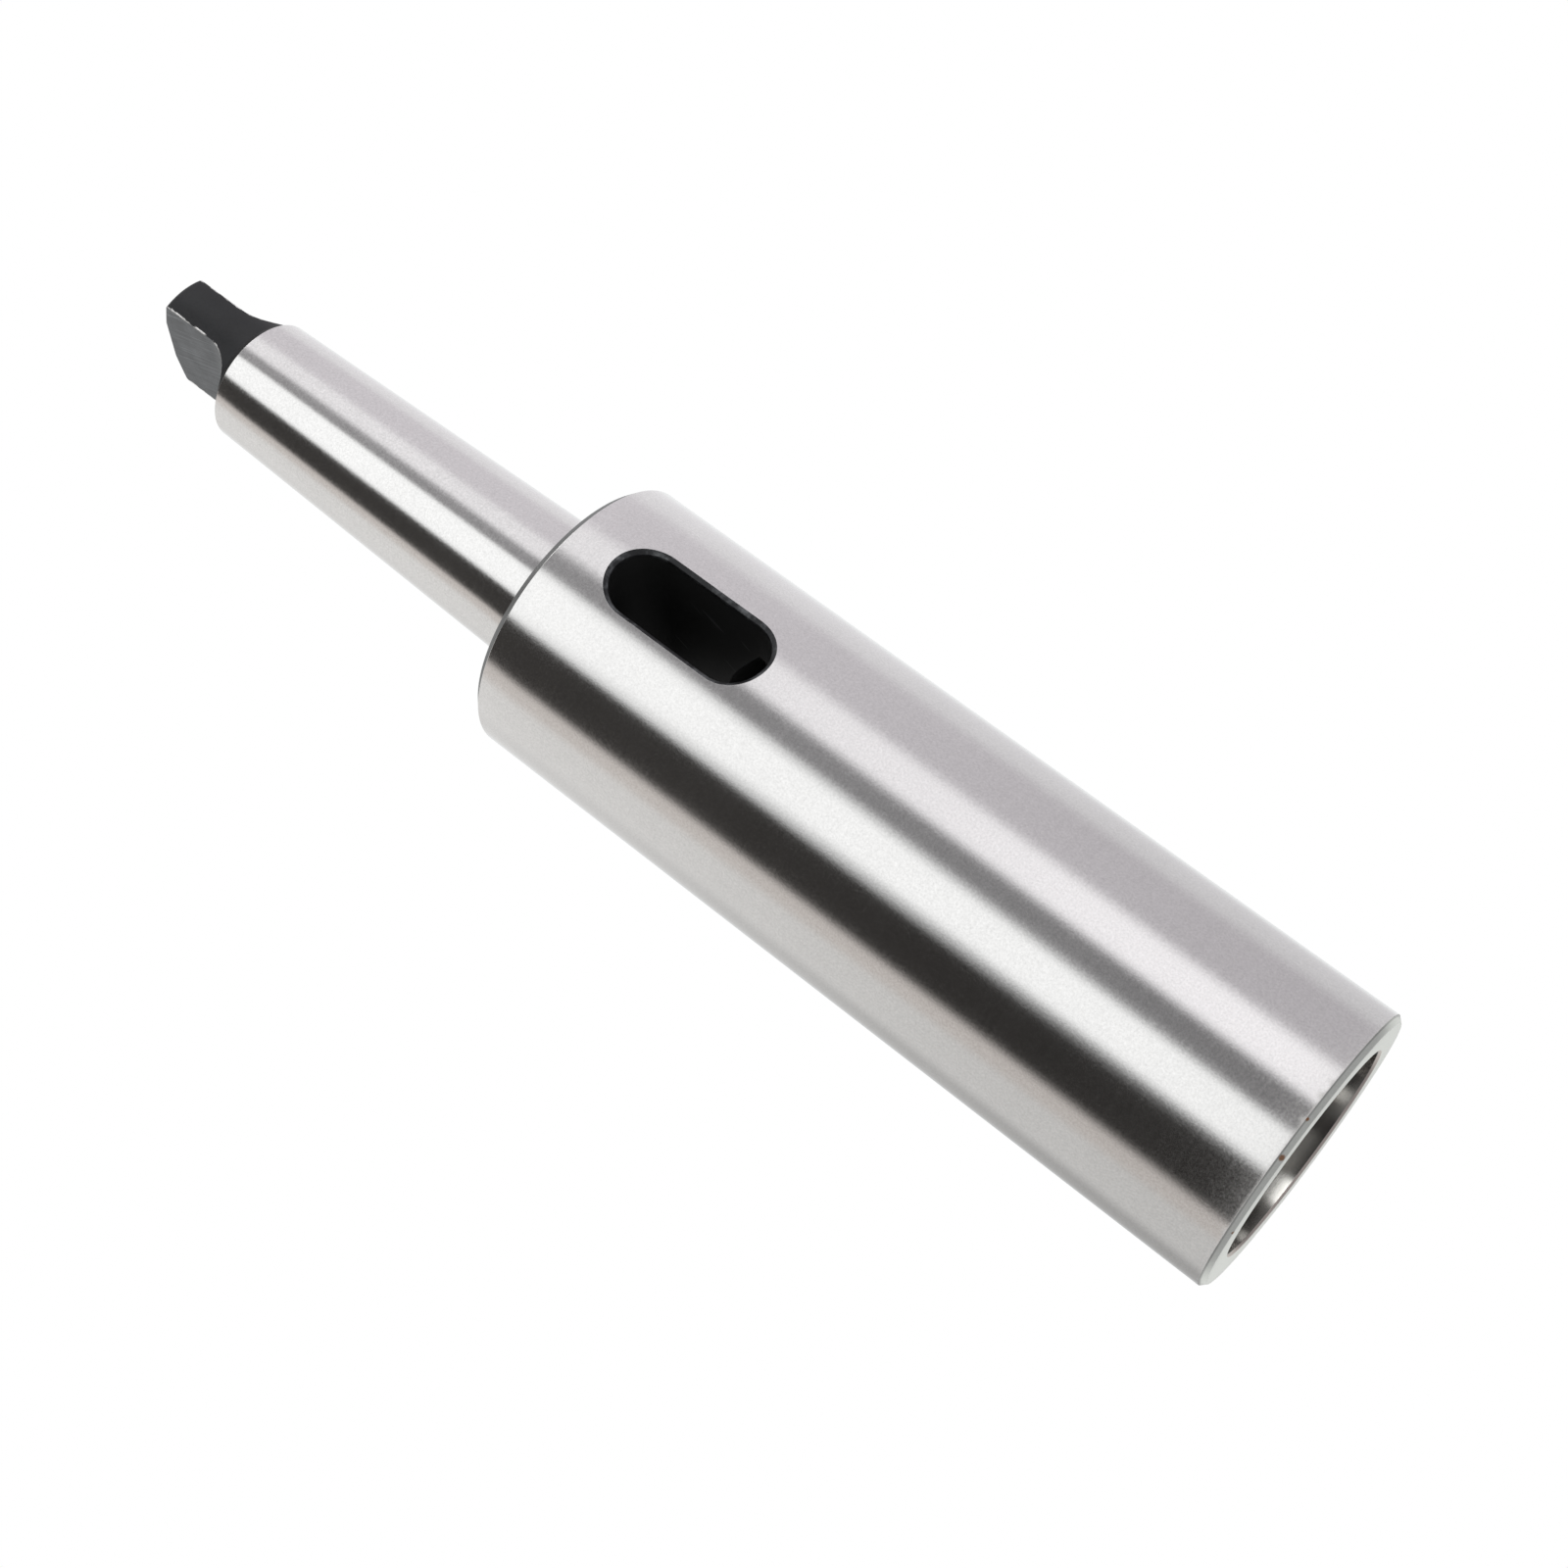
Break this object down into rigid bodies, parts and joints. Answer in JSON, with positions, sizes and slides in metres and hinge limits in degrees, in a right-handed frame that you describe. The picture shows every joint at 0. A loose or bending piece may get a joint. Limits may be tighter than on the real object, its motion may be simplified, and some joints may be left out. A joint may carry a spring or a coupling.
{
  "type": "morse taper extension sleeve",
  "caption": "Ground steel extension sleeve with a Morse taper tang shank, a larger Morse taper socket and a through drift slot.",
  "frame": {"origin": "centre of the socket mouth's face, which the sleeve stands on", "axes": "+Z along the axis from the socket mouth to the tang; the drift slot runs through along Y and the tang's flats face +X and -X"},
  "size_m": [0.084, 0.084, 0.4035],
  "materials": {
    "ground_steel": "ground along the round, satin, with a black scale tang"
  },
  "bodies": {
    "root": {"extension_sleeve": "ground_steel"}
  },
  "joints": []
}
